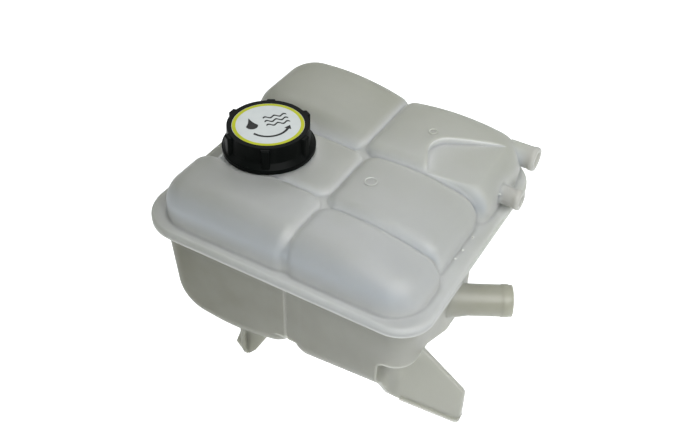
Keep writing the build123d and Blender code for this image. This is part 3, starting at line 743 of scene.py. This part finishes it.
@dataclass
class TankShells:
    """Upper and lower mouldings, their weld bead, neck thread and the marks left by the mould.

    Lengths are in millimetres and angles in degrees. A gate mark is given by its place in plan and its
    radius, and a profile by its steps, each a share of the width inwards and a share of the height up.
    """

    skin_angle: float = 32.0
    mark_places: tuple[Point, ...] = ((55.1, 68.0, 4.4), (66.2, 133.7, 3.2))
    mark_sides: int = 48
    mark_height: float = 0.45
    mark_rim: float = 0.8
    mark_profile: tuple[Span, ...] = ((0.3, 0.3), (0.4, 0.0), (0.5, -1.6))
    mark_angle: float = 30.0
    pip_places: tuple[Span, ...] = ((121.9, 84.6), (121.6, 70.1), (120.8, 60.7), (124.2, 117.6))
    pip_sides: int = 20
    pip_radius: float = 0.9
    pip_height: float = 0.5
    pip_profile: tuple[Span, ...] = ((0.25, 0.45), (0.35, 0.30))
    probe_height: float = 10.0
    neck: Span = (-19.7, 63.8)
    thread_root: float = 22.3
    thread_crest: float = 23.5
    thread_width: float = 2.2
    thread_taper: float = 0.45
    thread_start: float = 132.0
    thread_pitch: float = 4.0
    thread_turns: float = 1.75
    thread_steps: int = 72
    thread_angle: float = 35.0
    flange: tuple[Point, Point] = ((-75.5, -14.0, 94.0), (132.0, 179.0, 94.0))
    flange_corners: tuple[float, ...] = (30.0, 23.0, 34.0, 30.0)
    corner_segments: int = 14
    bead_inset: float = 2.55
    bead_radius: float = 0.65
    bead_resolution: int = 3

    def build(self) -> None:
        """Skins both shells and adds the thread, the weld bead and the moulding marks."""
        upper = self.skin("upper_shell", UPPER_PLASTIC)
        self.skin("lower_shell", LOWER_PLASTIC)
        bpy.context.view_layer.update()
        for number, (x, y, radius) in enumerate(self.mark_places, 1):
            mark = self.gate_mark(number, radius * MM)
            self.seat(mark, upper, x * MM, y * MM, EMBOSSED_PLASTIC)
        pip = self.pip()
        for number, (x, y) in enumerate(self.pip_places, 1):
            self.seat(Modeller.copy(pip, f"moulding_pip_{number}"), upper, x * MM, y * MM, PAINTED_GLINT_PLASTIC)
        bpy.data.objects.remove(pip)
        self.neck_thread()
        self.weld_bead()

    def skin(self, node: str, finish: Polypropylene) -> bpy.types.Object:
        """Replaces a shell by a merged, smooth copy of itself.

        Args:
            node: Name of the shell's node.
            finish: Plastic that it is made of.

        Returns:
            The copy.
        """
        piece = Modeller.copy_node(node, node + "_skin")
        Modeller.smooth(piece, self.skin_angle)
        return fit(piece, finish, Body.TANK)

    def seat(self, piece: bpy.types.Object, shell: bpy.types.Object, x: float, y: float,
             finish: Polypropylene) -> None:
        """Sets a small mark square on the top of a moulding.

        Args:
            piece: Mark modelled about the origin with its face up.
            shell: Moulding that it sits on.
            x: Place in plan, in metres.
            y: Place in plan, in metres.
            finish: Plastic that it gets all over.
        """
        start = Vector((x, y, CAD_BOX[1].z + self.probe_height * MM))
        _, place, normal, _ = shell.ray_cast(start, Vector((0.0, 0.0, -1.0)))
        turn = normal.to_track_quat("Z", "Y").to_matrix().to_4x4()
        Modeller.place(piece, Matrix.Translation(place) @ turn)
        fit(piece, finish, Body.TANK)

    def gate_mark(self, number: int, radius: float) -> bpy.types.Object:
        """Models the raised ring that the injection gate leaves, open down to the moulding inside.

        Args:
            number: Number of the mark.
            radius: Outer radius in metres.

        Returns:
            The mark about the origin.
        """
        Modeller.deselect()
        height = self.mark_height * MM
        bpy.ops.mesh.primitive_cylinder_add(vertices=self.mark_sides, radius=radius, depth=2 * height)
        piece = Modeller.named(f"gate_mark_{number}")
        bpy.ops.object.mode_set(mode="EDIT")
        Modeller.select_faces(piece, lambda face: face.normal.z > LEVEL)
        Modeller.inset_steps(self.mark_profile, self.mark_rim * MM, height)
        Modeller.close()
        Modeller.smooth(piece, self.mark_angle)
        return piece

    def pip(self) -> bpy.types.Object:
        """Models one low dome left by an ejector vent.

        Returns:
            The pip about the origin.
        """
        Modeller.deselect()
        radius, height = self.pip_radius * MM, self.pip_height * MM
        bpy.ops.mesh.primitive_cylinder_add(vertices=self.pip_sides, radius=radius, depth=height)
        piece = Modeller.named("moulding_pip")
        bpy.ops.object.mode_set(mode="EDIT")
        Modeller.select_faces(piece, lambda face: face.normal.z > LEVEL)
        Modeller.inset_steps(self.pip_profile, radius, height)
        Modeller.close()
        Modeller.smooth(piece, ROUND_ANGLE)
        return piece

    def neck_thread(self) -> bpy.types.Object:
        """Winds the thread that the cap turns on around the filler neck.

        Returns:
            The finished thread.
        """
        Modeller.deselect()
        bpy.ops.mesh.primitive_plane_add(size=1.0, rotation=(math.radians(90.0), 0.0, 0.0))
        piece = Modeller.named("neck_thread")
        depth = self.thread_crest - self.thread_root
        piece.scale = Vector((depth, self.thread_width, 1.0)) * MM
        bpy.ops.object.transform_apply(location=True, rotation=True, scale=True)
        bpy.ops.object.mode_set(mode="EDIT")
        bpy.ops.mesh.delete(type="ONLY_FACE")
        Modeller.select_points(piece, lambda point: point.co.x > 0.0)
        bpy.ops.transform.resize(value=(1.0, 1.0, self.thread_taper), center_override=(0.0, 0.0, 0.0))
        bpy.ops.mesh.select_all(action="SELECT")
        middle = (self.thread_root + self.thread_crest) / 2
        bpy.ops.transform.translate(value=(middle * MM, 0.0, self.thread_start * MM))
        bpy.ops.object.mode_set(mode="OBJECT")
        winding = piece.modifiers.new("winding", "SCREW")
        winding.angle = math.tau * self.thread_turns
        winding.screw_offset = self.thread_pitch * self.thread_turns * MM
        winding.steps = winding.render_steps = round(self.thread_steps * self.thread_turns)
        bpy.ops.object.modifier_apply(modifier=winding.name)
        bpy.ops.object.mode_set(mode="EDIT")
        Modeller.close()
        Modeller.place(piece, Matrix.Translation(Vector((*self.neck, 0.0)) * MM))
        Modeller.smooth(piece, self.thread_angle)
        return fit(piece, EMBOSSED_PLASTIC, Body.TANK)

    def weld_bead(self) -> bpy.types.Object:
        """Runs the bead of weld flash around the joint under the flange.

        Returns:
            The finished bead.
        """
        low, high = (Vector(corner) * MM for corner in self.flange)
        inset = Vector((self.bead_inset, self.bead_inset, 0.0)) * MM
        low, high = low + inset, high - inset
        Modeller.deselect()
        bpy.ops.mesh.primitive_plane_add(size=1.0, location=(low + high) / 2)
        piece = Modeller.named("weld_bead")
        piece.scale = (high.x - low.x, high.y - low.y, 1.0)
        bpy.ops.object.transform_apply(location=True, rotation=True, scale=True)
        bpy.ops.object.mode_set(mode="EDIT")
        corners = ((low.x, low.y), (high.x, low.y), (high.x, high.y), (low.x, high.y))
        for (x, y), radius in zip(corners, self.flange_corners):
            spot = Vector((x, y, low.z))
            Modeller.select_points(piece, lambda point: (point.co - spot).length < SAME_PLACE)
            bpy.ops.mesh.bevel(offset=(radius - self.bead_inset) * MM, offset_type="OFFSET",
                               segments=self.corner_segments, affect="VERTICES")
        bpy.ops.mesh.select_all(action="SELECT")
        bpy.ops.mesh.delete(type="ONLY_FACE")
        bpy.ops.object.mode_set(mode="OBJECT")
        bpy.ops.object.convert(target="CURVE")
        bead = bpy.context.object.data
        bead.bevel_depth = self.bead_radius * MM
        bead.bevel_resolution = self.bead_resolution
        bpy.ops.object.convert(target="MESH")
        piece = Modeller.named("weld_bead")
        bpy.ops.object.mode_set(mode="EDIT")
        Modeller.close()
        Modeller.smooth(piece, ROUND_ANGLE)
        return fit(piece, EMBOSSED_PLASTIC, Body.TANK)


@dataclass
class PressureCap:
    """Screw cap, its printed label and the valve insert inside.

    Lengths are in millimetres and angles in degrees. The sizes of the arrowhead are shares of the arc's
    width. The spring seat, the share of a spring that would stay with each end, is not used.
    """

    finishes: dict[str, Finish] = field(default_factory=lambda: {
        "cap_shell": CAP_PLASTIC, "cap_label": LABEL_FILM, "valve_housing": INSERT_PLASTIC,
        "neck_seal": SEAL_RUBBER, "spring_retainer": INSERT_PLASTIC, "pressure_plate": VALVE_STEEL,
        "pressure_seal": SEAL_RUBBER, "vacuum_poppet": POPPET_BRASS})
    springs: dict[str, tuple[Body, Body]] = field(default_factory=lambda: {
        "pressure_spring": (Body.VALVE_UNIT, Body.PRESSURE_VALVE),
        "vacuum_spring": (Body.VACUUM_VALVE, Body.PRESSURE_VALVE)})
    spring_seat: float = 0.15
    ring_sides: int = 96
    ring_width: float = 2.3
    ring_margin: float = 0.25
    ink: float = 0.08
    print_turn: float = 50.0
    drop_sides: int = 40
    drop_radius: float = 4.0
    drop_taper: float = 0.75
    drop_stretch: float = 1.1
    drop_place: Span = (-10.5, 1.5)
    wave_columns: int = 32
    wave_count: float = 2.5
    wave_length: float = 16.0
    wave_width: float = 1.5
    wave_height: float = 1.0
    wave_places: tuple[Span, ...] = ((6.5, 7.5), (6.5, 3.2), (6.5, -1.1))
    arc_steps: int = 28
    arc_radius: float = 13.5
    arc_width: float = 1.7
    arc_start: float = 215.0
    arc_sweep: float = 110.0
    head_gap: float = 0.15
    head_width: float = 2.8
    head_length: float = 2.4

    def build(self) -> None:
        """Dresses the nodes, copies the springs and prints the label."""
        for node, finish in self.finishes.items():
            dress(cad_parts[node], finish)
            LOG.info("dressed %s with %s", node, finish.name)
        for node, (upper, lower) in self.springs.items():
            self.spring(node)
        self.print_ring()
        self.print_drop()
        wave = self.wave()
        for number, (across, up) in enumerate(self.wave_places, 1):
            self.print_flat(Modeller.copy(wave, f"label_wave_{number}"), across, up)
        bpy.data.objects.remove(wave)
        self.print_turn_arrow()

    def spring(self, node: str) -> bpy.types.Object:
        """Replaces a spring by a smooth copy of itself in spring steel.

        Args:
            node: Name of the spring's node.

        Returns:
            The copy.
        """
        piece = Modeller.copy_node(node, node + "_coil")
        Modeller.smooth(piece, ROUND_ANGLE)
        dress(piece, SPRING_STEEL)
        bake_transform(piece)
        LOG.info("strung %s: %d faces", piece.name, len(piece.data.polygons))
        return piece

    def centre(self) -> Vector:
        """Middle of the label's top face."""
        low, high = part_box("cap_label")
        return Vector(((low.x + high.x) / 2, (low.y + high.y) / 2, high.z))

    def print_ring(self) -> bpy.types.Object:
        """Prints the coloured ring around the label.

        Returns:
            The finished ring.
        """
        low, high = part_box("cap_label")
        radius = (high.x - low.x) / 2 - self.ring_margin * MM
        Modeller.deselect()
        bpy.ops.mesh.primitive_cylinder_add(vertices=self.ring_sides, radius=radius, depth=self.ink * MM)
        piece = Modeller.named("label_ring")
        bpy.ops.object.mode_set(mode="EDIT")
        Modeller.select_faces(piece, lambda face: abs(face.normal.z) > LEVEL)
        bpy.ops.mesh.inset(thickness=self.ring_width * MM, depth=0.0)
        bpy.ops.mesh.bridge_edge_loops()
        bpy.ops.mesh.select_all(action="SELECT")
        bpy.ops.mesh.normals_make_consistent(inside=False)
        bpy.ops.object.mode_set(mode="OBJECT")
        Modeller.place(piece, Matrix.Translation(self.centre()))
        return fit(piece, YELLOW_INK, Body.CAP)

    def print_flat(self, piece: bpy.types.Object, across: float, up: float,
                   turn: float = 0.0) -> bpy.types.Object:
        """Thickens a flat outline to a layer of dark ink and lays it on the label.

        Args:
            piece: Flat mesh about the origin.
            across: Place on the label, to its right.
            up: Place on the label, to its top.
            turn: Turn about the label's middle in degrees.

        Returns:
            The finished print.
        """
        Modeller.pick(piece)
        bpy.ops.object.mode_set(mode="EDIT")
        bpy.ops.mesh.select_mode(type="FACE")
        bpy.ops.mesh.select_all(action="SELECT")
        layer = self.ink * MM
        bpy.ops.mesh.extrude_region_move(TRANSFORM_OT_translate={"value": (0.0, 0.0, layer)})
        Modeller.close()
        way = Matrix.Rotation(math.radians(self.print_turn + turn), 4, "Z")
        shift = Matrix.Translation(Vector((across * MM, up * MM, -layer / 2)))
        Modeller.place(piece, Matrix.Translation(self.centre()) @ way @ shift)
        return fit(piece, DARK_INK, Body.CAP)

    def print_drop(self) -> bpy.types.Object:
        """Prints a drop of coolant.

        Returns:
            The finished print.
        """
        Modeller.deselect()
        radius = self.drop_radius * MM
        bpy.ops.mesh.primitive_circle_add(vertices=self.drop_sides, radius=radius, fill_type="NGON")
        piece = Modeller.named("label_drop")
        bpy.ops.object.mode_set(mode="EDIT")
        for row in range(self.drop_sides // 4, 0, -1):
            rise = math.sin(row * math.tau / self.drop_sides)
            Modeller.select_points(piece, lambda point: abs(point.co.y - rise * radius) < SAME_PLACE)
            bpy.ops.transform.resize(value=(1.0 - self.drop_taper * rise, 1.0, 1.0),
                                     center_override=(0.0, 0.0, 0.0))
            bpy.ops.transform.translate(value=(0.0, self.drop_stretch * rise ** 3 * radius, 0.0))
        bpy.ops.object.mode_set(mode="OBJECT")
        return self.print_flat(piece, *self.drop_place)

    def wave(self) -> bpy.types.Object:
        """Models one wave line, flat about the origin.

        Returns:
            The flat outline.
        """
        Modeller.deselect()
        columns = self.wave_columns
        bpy.ops.mesh.primitive_grid_add(x_subdivisions=columns, y_subdivisions=1, size=1.0)
        piece = Modeller.named("label_wave")
        piece.scale = Vector((self.wave_length, self.wave_width, 1.0)) * MM
        bpy.ops.object.transform_apply(location=True, rotation=True, scale=True)
        bpy.ops.object.mode_set(mode="EDIT")
        step = self.wave_length * MM / columns
        for column in range(columns + 1):
            x = (column - columns / 2) * step
            Modeller.select_points(piece, lambda point: abs(point.co.x - x) < step / 4)
            swell = self.wave_height * MM * math.sin(self.wave_count * math.tau * column / columns)
            bpy.ops.transform.translate(value=(0.0, swell, 0.0))
        bpy.ops.object.mode_set(mode="OBJECT")
        return piece

    def print_turn_arrow(self) -> bpy.types.Object:
        """Prints the arc with an arrowhead that shows the way to turn the cap.

        Returns:
            The finished print.
        """
        Modeller.deselect()
        radius, width = self.arc_radius * MM, self.arc_width * MM
        bpy.ops.mesh.primitive_plane_add(size=width, location=(radius, 0.0, 0.0))
        piece = Modeller.named("label_turn_arrow")
        bpy.ops.object.transform_apply(location=True, rotation=True, scale=True)
        bpy.ops.object.mode_set(mode="EDIT")
        Modeller.select_points(piece, lambda point: point.co.y > 0.0)
        bpy.ops.mesh.delete(type="VERT")
        bpy.ops.mesh.select_all(action="SELECT")
        bpy.ops.mesh.spin(steps=self.arc_steps, angle=-math.radians(self.arc_sweep),
                          center=(0.0, 0.0, 0.0), axis=(0.0, 0.0, 1.0))
        bpy.ops.object.mode_set(mode="OBJECT")
        ends = [point.co.copy() for point in piece.data.vertices if point.select]
        end = (ends[0] + ends[1]) / 2
        heading = Vector((-end.y, end.x, 0.0)).normalized() * math.copysign(width, end.y)
        gap = self.head_gap * heading
        bpy.ops.object.mode_set(mode="EDIT")
        bpy.ops.mesh.extrude_region_move(TRANSFORM_OT_translate={"value": gap})
        bpy.ops.transform.resize(value=(self.head_width, self.head_width, 1.0), center_override=end + gap)
        bpy.ops.mesh.extrude_region_move(TRANSFORM_OT_translate={"value": self.head_length * heading})
        bpy.ops.mesh.merge(type="CENTER")
        bpy.ops.object.mode_set(mode="OBJECT")
        return self.print_flat(piece, 0.0, 0.0, self.arc_start)


@dataclass(frozen=True)
class Softbox:
    """Square soft light. Lengths are in metres and the power is in watts."""

    name: str
    place: Point
    aim: Point
    size: float
    power: float

    def hang(self) -> None:
        """Hangs the light at its place, facing its aim."""
        light = bpy.data.lights.new(self.name, "AREA")
        light.size = self.size
        light.energy = self.power
        lamp = bpy.data.objects.new(self.name, light)
        bpy.context.scene.collection.objects.link(lamp)
        lamp.location = self.place
        lamp.rotation_euler = (Vector(self.aim) - Vector(self.place)).to_track_quat("-Z", "Y").to_euler()
        LOG.info("hung %s", self.name)


@dataclass
class Studio:
    """Pale floor, soft lights and the camera at the photograph's viewing angle.

    The camera's distance and target and the drop of the floor are in millimetres, angles in degrees, and
    the floor's size and the clip range in metres.
    """

    azimuth: float = 28.99
    elevation: float = 41.32
    roll: float = 1.79
    distance: float = 529.9
    target: Point = (73.98, 8.05, 147.38)
    focal_pixels: float = 928.1
    image_width: float = 700.0
    sensor: float = 36.0
    clip: Span = (0.01, 50.0)
    floor_drop: float = 260.0
    floor_size: float = 60.0
    floor_tone: Colour = (0.94, 0.945, 0.945)
    floor_roughness: float = 0.9
    floor_glow: float = 0.62
    sky_tone: Colour = (0.98, 1.0, 1.0)
    sky_strength: float = 0.45
    softboxes: tuple[Softbox, ...] = (
        Softbox("key_softbox", (0.40, -0.18, 0.62), (0.06, 0.08, 0.10), 0.60, 5.5),
        Softbox("back_softbox", (-0.30, 0.75, 0.90), (0.03, 0.08, 0.10), 0.7, 3.0))

    def build(self) -> None:
        """Sets floor, light and camera."""
        self.floor()
        self.sky()
        for softbox in self.softboxes:
            softbox.hang()
        self.camera()

    def floor(self) -> None:
        """Lays the floor well below the tank, which hangs in its bracket."""
        Modeller.deselect()
        level = CAD_BOX[0].z - self.floor_drop * MM
        bpy.ops.mesh.primitive_plane_add(size=self.floor_size, location=(0.0, 0.0, level))
        floor = Modeller.named("studio_floor")
        shader = Shader("floor_paper")
        shader.set(Base_Color=(*self.floor_tone, 1.0), Roughness=self.floor_roughness)
        shader.set(Emission_Color=(*self.sky_tone, 1.0), Emission_Strength=self.floor_glow)
        shader.set(Specular_IOR_Level=0.0)
        floor.data.materials.append(shader.material)

    def sky(self) -> None:
        """Fills the room with even white light."""
        world = bpy.data.worlds.new("studio")
        world.use_nodes = True
        light = world.node_tree.nodes["Background"]
        light.inputs["Color"].default_value = (*self.sky_tone, 1.0)
        light.inputs["Strength"].default_value = self.sky_strength
        bpy.context.scene.world = world

    def camera(self) -> None:
        """Places the camera where the photograph was taken from."""
        azimuth, elevation, roll = (math.radians(v) for v in (self.azimuth, self.elevation, self.roll))
        ahead = Vector((-math.sin(azimuth) * math.cos(elevation), math.cos(azimuth) * math.cos(elevation),
                        -math.sin(elevation)))
        level = Vector((math.cos(azimuth), math.sin(azimuth), 0.0))
        upright = level.cross(ahead)
        right = level * math.cos(roll) + upright * math.sin(roll)
        up = upright * math.cos(roll) - level * math.sin(roll)
        lens = bpy.data.cameras.new("photo_camera")
        lens.sensor_width = self.sensor
        lens.lens = self.focal_pixels / self.image_width * self.sensor
        lens.clip_start, lens.clip_end = self.clip
        camera = bpy.data.objects.new("photo_camera", lens)
        bpy.context.scene.collection.objects.link(camera)
        turn = Matrix((right, up, -ahead)).transposed().to_4x4()
        camera.matrix_world = Matrix.Translation((Vector(self.target) - ahead * self.distance) * MM) @ turn
        bpy.context.scene.camera = camera


def main() -> None:
    """Builds the tank, its cap and the studio."""
    logging.basicConfig(level=logging.INFO)
    TankShells().build()
    PressureCap().build()
    Studio().build()
    bpy.context.scene.view_settings.view_transform = "Standard"


if __name__ == "__main__":
    main()
